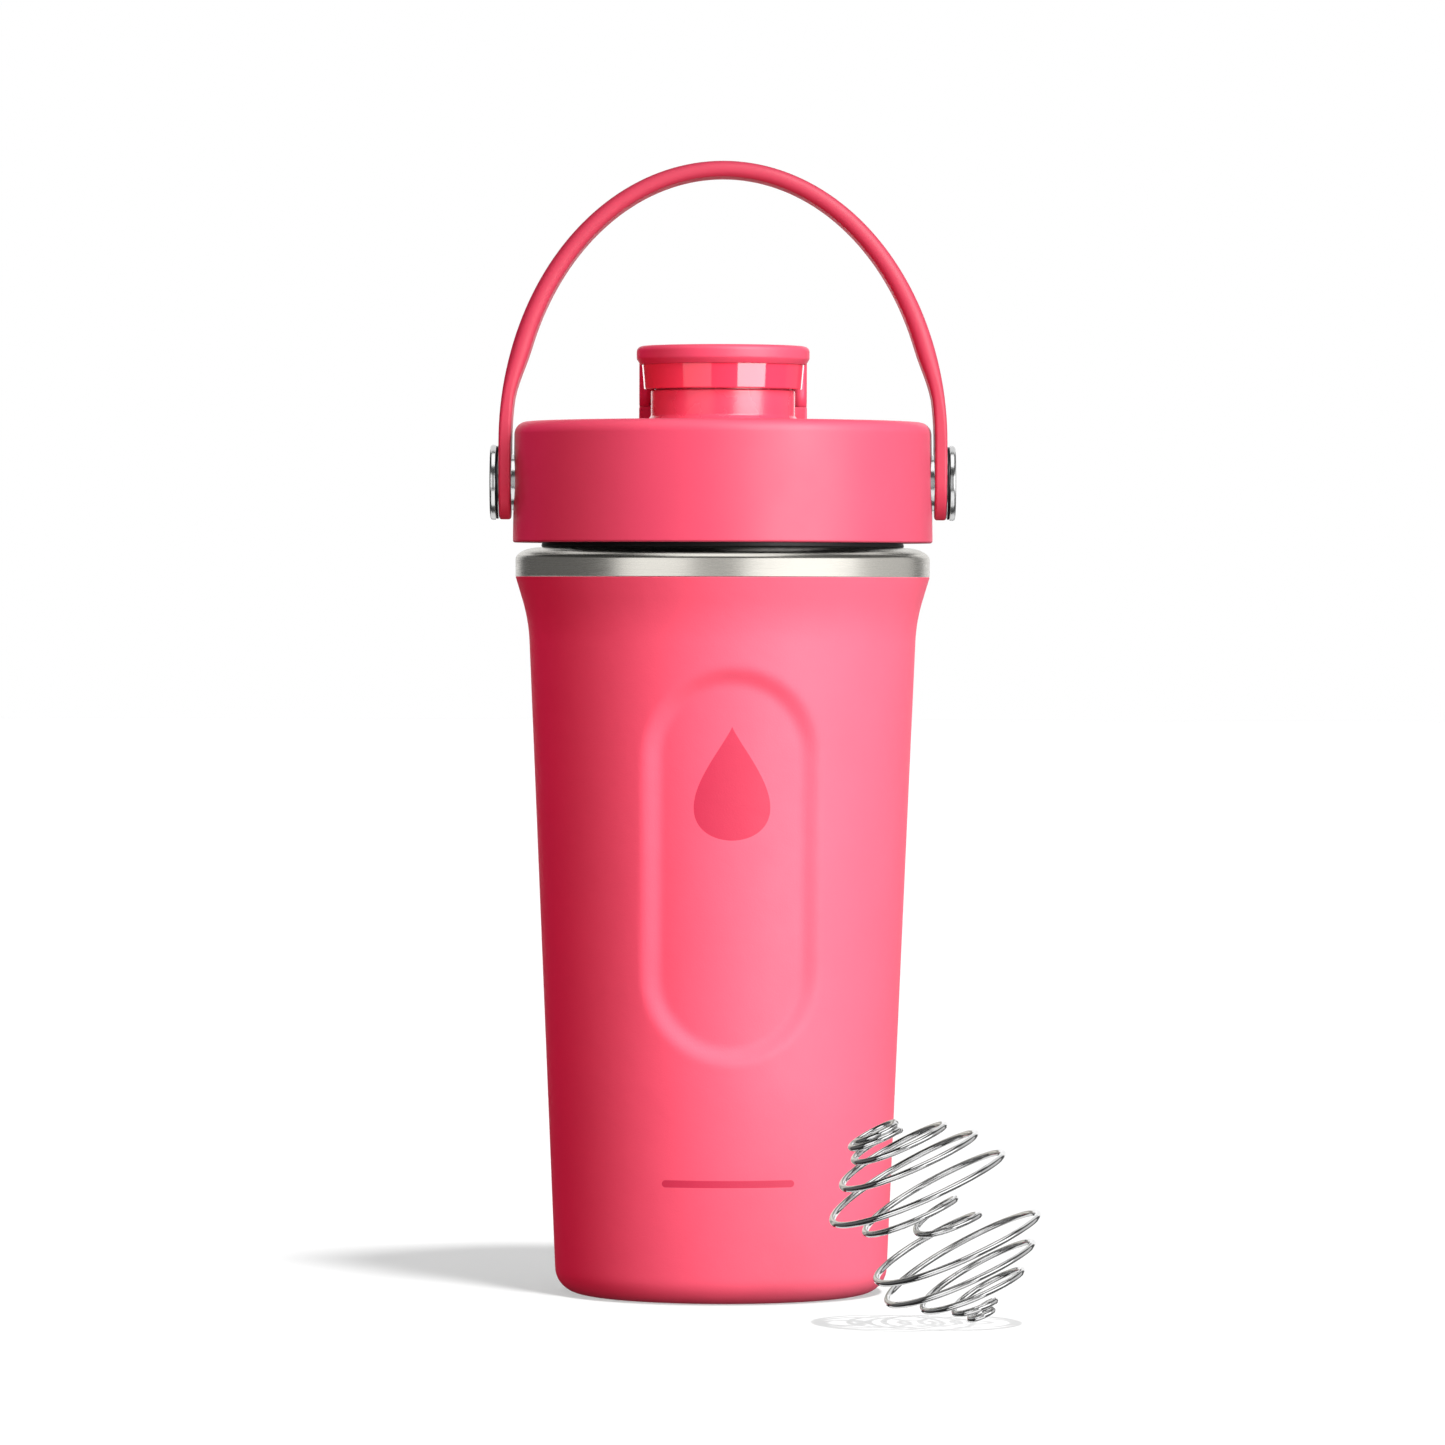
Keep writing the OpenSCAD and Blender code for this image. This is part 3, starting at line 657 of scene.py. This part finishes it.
def build_strap():
    edge_steps, crown = 7, 0.1 * MM
    stations = strap_stations()
    last = len(stations) - 1

    def limb(station):
        """0 in the tabs, which are flat, and 1 along the limbs and the arch."""
        return smoothstep(PIVOT_Z + 8 * MM, PIVOT_Z + 30 * MM, station[0].z)

    def edge_of(station):
        """Edge radius: tight round the tabs, nearly half the thickness along the limbs and the arch."""
        return 0.7 * MM * (1 - limb(station)) + 0.46 * station[2] * limb(station)

    def point(station, side, inset, lift):
        middle, normal, thick, tip = station
        r = STRAP_R - inset
        if tip is None:
            return middle + normal * lift + Vector((0, side * r, 0))
        return middle + normal * lift + Vector((0, side * r * math.sin(tip), -r * math.cos(tip)))

    bm = bmesh.new()
    levels = [(k, 1) for k in range(edge_steps, -1, -1)] + [(k, -1) for k in range(edge_steps + 1)]
    rings = []
    for k, face in levels:
        a = math.pi / 2 * k / edge_steps
        ring = []
        path = [(s, 1) for s in stations] + [(s, -1) for s in stations[-2:0:-1]]
        for station, side in path:
            edge = edge_of(station)
            lift = face * (station[2] / 2 - edge + edge * math.sin(a))
            ring.append(bm.verts.new(point(station, side, edge * (1 - math.cos(a)), lift)))
        rings.append(ring)
    count = len(rings[0])
    for low, high in zip(rings, rings[1:]):
        for i in range(count):
            j = (i + 1) % count
            bm.faces.new((low[i], low[j], high[j], high[i]))
    for ring, face in ((rings[0], 1), (rings[-1], -1)):
        middle = [ring[0]]
        for n in range(1, last):
            station = stations[n]
            drop = Vector((0, 0, 0))
            if station[3] is not None:
                drop.z = -(STRAP_R - edge_of(station)) * math.cos(station[3])
            grow = crown * limb(station)
            middle.append(bm.verts.new(station[0] + drop + station[1] * face * (station[2] / 2 + grow)))
        middle.append(ring[last])
        for n in range(last):
            for here, there in ((ring[n], ring[n + 1]), (ring[(count - n) % count], ring[count - n - 1])):
                corners = [here, there, middle[n + 1], middle[n]]
                corners = [v for i, v in enumerate(corners) if v not in corners[:i]]
                if len(corners) > 2:
                    bm.faces.new(corners)
    return bm


def bored(bm, radius, height):
    """A copy of bm with a round hole bored right through it along X at that height."""
    tool = bmesh.new()
    bmesh.ops.create_cone(tool, cap_ends=True, segments=64, radius1=radius, radius2=radius, depth=0.2)
    made = []
    for name, source in (("solid", bm), ("drill", tool)):
        bmesh.ops.recalc_face_normals(source, faces=source.faces)
        mesh = bpy.data.meshes.new(name)
        source.to_mesh(mesh)
        source.free()
        made.append(bpy.data.objects.new(name, mesh))
        bpy.context.scene.collection.objects.link(made[-1])
    solid, drill = made
    drill.matrix_world = Matrix.Translation((0, 0, height)) @ Matrix.Rotation(math.pi / 2, 4, "Y")
    cut = solid.modifiers.new("cut", "BOOLEAN")
    cut.operation, cut.solver, cut.object = "DIFFERENCE", "EXACT", drill
    bpy.context.view_layer.update()
    result = bmesh.new()
    result.from_mesh(solid.evaluated_get(bpy.context.evaluated_depsgraph_get()).data)
    for thing in made:
        mesh = thing.data
        bpy.data.objects.remove(thing)
        bpy.data.meshes.remove(mesh)
    return result


add_piece("strap_band", bored(build_strap(), 4.75 * MM, PIVOT_Z), strap_rubber, "strap", ["carry_strap"])

# ---------- strap pivots ----------


def pivot_place(side):
    return Matrix.Translation((0, 0, PIVOT_Z)) @ Matrix.Rotation(side * math.pi / 2, 4, "Y")


SHANK_R, HEAD_R = 2.4 * MM, (HEAD_HIGH.z - HEAD_LOW.z) / 2
head_base = WASHER_HIGH.x
head_outline = rounded([
    (0, HEAD_LOW.x), (SHANK_R, HEAD_LOW.x, 0.3 * MM), (SHANK_R, head_base), (HEAD_R, head_base, 0.25 * MM),
    (HEAD_R, HEAD_HIGH.x - 0.12 * MM, 0.6 * MM), (HEAD_R * 0.5, HEAD_HIGH.x), (0, HEAD_HIGH.x)], steps=6)
WASHER_R = (WASHER_HIGH.z - WASHER_LOW.z) / 2
washer_outline = rounded([
    (2.5 * MM, WASHER_LOW.x), (WASHER_R, WASHER_LOW.x, 0.15 * MM), (WASHER_R, WASHER_HIGH.x, 0.15 * MM),
    (2.5 * MM, WASHER_HIGH.x)], steps=4)
for side, word in ((1, "right"), (-1, "left")):
    add_piece(f"pivot_head_{word}", revolved(head_outline, 96), polished_steel, "lid",
              [f"{word}_pivot_cap"], place=pivot_place(side))
    add_piece(f"pivot_ring_{word}", revolved(washer_outline, 96), black_plastic, "lid",
              [f"{word}_pivot_washer"], place=pivot_place(side))

# ---------- whisk ----------

WIRE_R = 0.75 * MM
# radius of the wire at each half turn, from the top, in mm: a fit to the photograph
WHISK_RADII = [8, 0.8, 9.8, 1, 10.5, 11.5, 15.5, 17, 21, 20.5, 15.5, 6.5,
               5, 9.5, 18, 21.5, 18, 17.5, 11.5, 12.5, 5.5, 4, 3]
WHISK_LEN = 47.3 * MM
WHISK_TIGHT = 2
WHISK_CROWDING = math.radians(68)
WHISK_PLACE = (Matrix.Translation((48.7 * MM, -80 * MM, 23.2 * MM)) @ Matrix.Rotation(math.radians(5), 4, "X")
               @ Matrix.Rotation(math.radians(-26.5), 4, "Y"))


def whisk_point(h):
    """Point of the wire's middle line, h half turns below the first full one.

    Both ends are small, tight coils."""
    last = len(WHISK_RADII) - 1 - WHISK_TIGHT
    place = h + WHISK_TIGHT
    i = min(int(place), len(WHISK_RADII) - 2)
    s = smoothstep(0, 1, place - i)
    r = (WHISK_RADII[i] * (1 - s) + WHISK_RADII[i + 1] * s - 0.55 * max(0, h - last)) * MM
    a = math.pi * (h - 1)
    full = min(max(h, 0), last)
    drop = WHISK_LEN / 2 * math.sin(WHISK_CROWDING * (2 * full / last - 1)) / math.sin(WHISK_CROWDING)
    drop += (h - full) * 0.35 * MM + 1.8 * MM * math.exp(-((h - 7) / 1.6) ** 2)
    return WHISK_PLACE @ Vector((r * math.cos(a), r * math.sin(a), -drop))


def wire_ring(centre, radius, across, up):
    """Points round the wire's middle line, in the plane of across and up."""
    sides = 16
    return [centre + radius * (math.cos(a) * across + math.sin(a) * up)
            for a in (math.tau * k / sides for k in range(sides))]


def build_whisk():
    half_turn_steps, end_turns = 56, 1.5
    count = int((len(WHISK_RADII) - 1 + end_turns) * half_turn_steps)
    path = [whisk_point(i / half_turn_steps - WHISK_TIGHT) for i in range(count + 1)]
    loops = []
    across = None
    for i, here in enumerate(path):
        along = (path[min(i + 1, count)] - path[max(i - 1, 0)]).normalized()
        if across is None:
            across = along.orthogonal().normalized()
        across = (across - along * across.dot(along)).normalized()
        up = along.cross(across)
        if i == 0:
            loops.append(wire_ring(here, WIRE_R * 0.6, across, up))
            loops.append(wire_ring(here + along * WIRE_R * 0.15, WIRE_R * 0.9, across, up))
        elif i == count:
            loops.append(wire_ring(here - along * WIRE_R * 0.15, WIRE_R * 0.9, across, up))
            loops.append(wire_ring(here, WIRE_R * 0.6, across, up))
        else:
            loops.append(wire_ring(here, WIRE_R, across, up))
    return lofted(loops)


add_piece("whisk_coil", build_whisk(), wire_steel, "whisk", ["whisk_wire"], sharp=60)

# on a cut-out product shot the pink parts tint neither the steel nor the paper
for name in ("shell_wall", "lid_body", "strap_band"):
    bpy.data.objects[name].visible_glossy = False
bpy.data.objects["shell_wall"].visible_diffuse = False

# ---------- carried-over CAD nodes ----------

for name, material in {
    "base_disc": shell_coat, "vacuum_plug": black_plastic, "getter_capsule": liner_steel,
    "lid_liner": black_plastic, "spout_ring": seal_rubber, "hinge_pin": polished_steel, "cap_seal": seal_rubber,
    "left_pivot_bush": polished_steel, "right_pivot_bush": polished_steel,
    "left_pivot_nut": polished_steel, "right_pivot_nut": polished_steel,
}.items():
    mesh = frame["nodes"][name].data
    mesh.materials.clear()
    mesh.materials.append(material)

# ---------- stage: floor, lights, world, camera ----------

floor_mesh = bpy.data.meshes.new("floor")
floor_half = 8
floor_mesh.from_pydata([(x * floor_half, y * floor_half, 0) for x, y in ((-1, -1), (1, -1), (1, 1), (-1, 1))],
                       [], [(0, 1, 2, 3)])
floor = bpy.data.objects.new("floor", floor_mesh)
floor.location.z = -0.02 * MM
bpy.context.scene.collection.objects.link(floor)
floor_paper = new_material("floor_paper", (0.93, 0.93, 0.93, 1), 1.0, specular=0.0)[0]
floor_mesh.materials.append(floor_paper)
# bright paper that lights nothing, as on a cut-out product shot
floor.visible_diffuse = False
floor.visible_glossy = False
floor.visible_shadow = False


def receivers_of(name, materials):
    """Collection of the pieces that hold any of these materials, for light linking."""
    pieces = bpy.data.collections.new(name)
    for thing in bpy.context.scene.objects:
        if thing.type == "MESH" and set(materials) & set(thing.data.materials):
            pieces.objects.link(thing)
    return pieces


STEELS = [rim_steel, liner_steel, polished_steel, wire_steel]
PINKS = [shell_coat, lid_plastic, strap_rubber, neck_plastic, gloss_plastic]
only_floor = receivers_of("only_floor", [floor_paper])
steel_only = receivers_of("steel_only", STEELS)
gloss_only = receivers_of("gloss_only", [gloss_plastic, neck_plastic])
lid_only = receivers_of("lid_only", [lid_plastic, neck_plastic])
strap_only = receivers_of("strap_only", [strap_rubber])
pink_only = receivers_of("pink_only", [shell_coat, lid_plastic, strap_rubber])
not_steel = receivers_of("not_steel", PINKS + [seal_rubber, black_plastic])
# the cap's hinge posts, which the neck shades on the left side only
post_only = bpy.data.collections.new("post_only")
for name in ("cap_arm_left", "cap_arm_right", "hinge_saddle"):
    post_only.objects.link(bpy.data.objects[name])
WARM_PINK = (1.0, 0.05, 0.25)
DEEP_PINK = (1.0, 0.0, 0.13)
BOTTLE_MIDDLE = Vector((0, 0, 0.11))


def placed_lamp(name, light, azimuth, elevation, distance, receivers, blockers):
    """Lamp that faces the bottle's middle. Azimuth is from the front, positive to the right, in degrees."""
    lamp = bpy.data.objects.new(name, light)
    a, e = math.radians(azimuth), math.radians(elevation)
    away = Vector((math.sin(a) * math.cos(e), -math.cos(a) * math.cos(e), math.sin(e)))
    lamp.location = BOTTLE_MIDDLE + away * distance
    lamp.rotation_mode = "QUATERNION"
    lamp.rotation_quaternion = away.to_track_quat("Z", "Y")
    bpy.context.scene.collection.objects.link(lamp)
    if receivers is not None:
        lamp.light_linking.receiver_collection = receivers
    if blockers is not None:
        lamp.light_linking.blocker_collection = blockers
    return lamp


def add_panel(name, azimuth, elevation, distance, width, height, radiance, colour=(1, 1, 1), receivers=None,
              blockers=None):
    """Rectangular softbox."""
    light = bpy.data.lights.new(name, "AREA")
    light.shape = "RECTANGLE"
    light.size, light.size_y = width, height
    light.energy = radiance * 4 * width * height
    light.color = colour
    lamp = placed_lamp(name, light, azimuth, elevation, distance, receivers, blockers)
    lamp.visible_camera = False


add_panel("right_panel", 42, 9, 1.5, 1.2, 0.95, 5.3, receivers=not_steel)
add_panel("right_high_panel", 42, 42, 3.0, 2.2, 1.6, 7.0, receivers=not_steel)
add_panel("right_rear_panel", 120, 9, 1.5, 0.9, 0.95, 0.12, receivers=not_steel)
add_panel("back_panel", 180, 12, 1.5, 1.2, 0.95, 1.5, receivers=not_steel)
add_panel("left_fill", -30, 9, 1.5, 1.2, 0.95, 2.05, WARM_PINK, receivers=pink_only)
add_panel("left_rear_fill", -125, 20, 1.5, 1.0, 0.95, 1.8, WARM_PINK, receivers=pink_only)
add_panel("low_fill", -15, -40, 1.5, 1.4, 1.2, 0.3, WARM_PINK, receivers=pink_only)
add_panel("strap_low_fill", 0, -60, 1.5, 1.4, 1.2, 1.9, (1.0, 0.35, 0.45), receivers=strap_only,
          blockers=only_floor)
add_panel("post_fill", 48, 9, 1.5, 1.2, 0.95, 5.0, (1.0, 0.4, 0.6), receivers=post_only, blockers=gloss_only)
add_panel("lid_top_panel", 0, 76, 1.5, 1.6, 1.4, 0.75, receivers=lid_only)
add_panel("gloss_fill", -55, 20, 1.5, 1.2, 0.95, 1.3, DEEP_PINK, receivers=gloss_only)
add_panel("left_panel", -38, 9, 1.5, 1.2, 0.95, 0.75, receivers=gloss_only)
add_panel("steel_left_panel", -38, 5, 1.5, 1.2, 1.1, 0.95, receivers=steel_only)
add_panel("steel_right_panel", 45, 5, 1.5, 2.0, 1.1, 1.15, receivers=steel_only)
add_panel("steel_front_panel", -4, 5, 1.5, 0.55, 1.1, 0.32, receivers=steel_only)
add_panel("steel_side_panel", 105, 5, 1.5, 1.5, 1.1, 0.42, receivers=steel_only)
add_panel("steel_back_panel", 178, 5, 1.5, 1.8, 1.1, 0.8, receivers=steel_only)
add_panel("steel_low_panel", 0, -50, 1.5, 2.0, 1.5, 0.8, receivers=steel_only)
add_panel("steel_rear_top_panel", 180, 48, 1.5, 2.0, 1.3, 0.6, receivers=steel_only)
add_panel("steel_rear_low_panel", 180, -48, 1.5, 2.0, 1.3, 0.6, receivers=steel_only)
add_panel("steel_dark_panel", -105, 5, 1.5, 2.2, 1.1, 0.08, receivers=steel_only)
add_panel("steel_top_panel", 0, 75, 1.3, 1.1, 1.1, 1.0, receivers=steel_only)


def add_sun(name, azimuth, elevation, spread_angle, strength, blockers):
    """Sun that only the floor receives. Only the blockers cast a shadow in it."""
    light = bpy.data.lights.new(name, "SUN")
    light.angle = math.radians(spread_angle)
    light.energy = strength
    placed_lamp(name, light, azimuth, elevation, 0, only_floor, blockers)


add_sun("floor_key", 27.5, 64, 8, 1.66,
        receivers_of("bottle_shadow", PINKS + [liner_steel, polished_steel, seal_rubber]))
add_sun("floor_fill", 0, 90, 60, 0.35, only_floor)
add_sun("contact_fill", 0, 90, 150, 0.5, receivers_of("all_shadow", PINKS))
add_sun("whisk_light", 80, 80, 1.5, 1.15, receivers_of("whisk_shadow", [wire_steel]))

world = bpy.data.worlds.new("studio")
bpy.context.scene.world = world
world.use_nodes = True
sky = world.node_tree
sky.nodes.clear()
direction = add_node(sky, "ShaderNodeTexCoord").outputs["Generated"]
across = add_node(sky, "ShaderNodeSeparateXYZ", Vector=direction).outputs["X"]
level = add_node(sky, "ShaderNodeMapRange", {"interpolation_type": "SMOOTHSTEP"}, Value=across, From_Min=-0.6,
                 From_Max=0.9, To_Min=0.03, To_Max=0.1).outputs["Result"]
room = add_node(sky, "ShaderNodeBackground", Color=(1, 1, 1, 1), Strength=level).outputs["Background"]
backdrop = add_node(sky, "ShaderNodeBackground", Color=(1, 1, 1, 1), Strength=1.0).outputs["Background"]
seen = add_node(sky, "ShaderNodeLightPath").outputs["Is Camera Ray"]
shown = add_node(sky, "ShaderNodeMixShader", i0=seen, i1=room, i2=backdrop).outputs["Shader"]
add_node(sky, "ShaderNodeOutputWorld", Surface=shown)

camera_data = bpy.data.cameras.new("camera")
camera = bpy.data.objects.new("camera", camera_data)
bpy.context.scene.collection.objects.link(camera)
bpy.context.scene.camera = camera
camera_data.sensor_width = 36
camera_data.lens = 200.4
camera_data.clip_start, camera_data.clip_end = 0.05, 40
eye, aim = Vector((0.06, -1900, 167)) * MM, Vector((0.06, 0, 134.6)) * MM
camera.location = eye
camera.rotation_mode = "QUATERNION"
roll = Matrix.Rotation(math.radians(0.14), 3, "Z").to_quaternion()
camera.rotation_quaternion = (aim - eye).to_track_quat("-Z", "Y") @ roll

bpy.context.scene.view_settings.view_transform = "Standard"
bpy.context.scene.view_settings.look = "None"
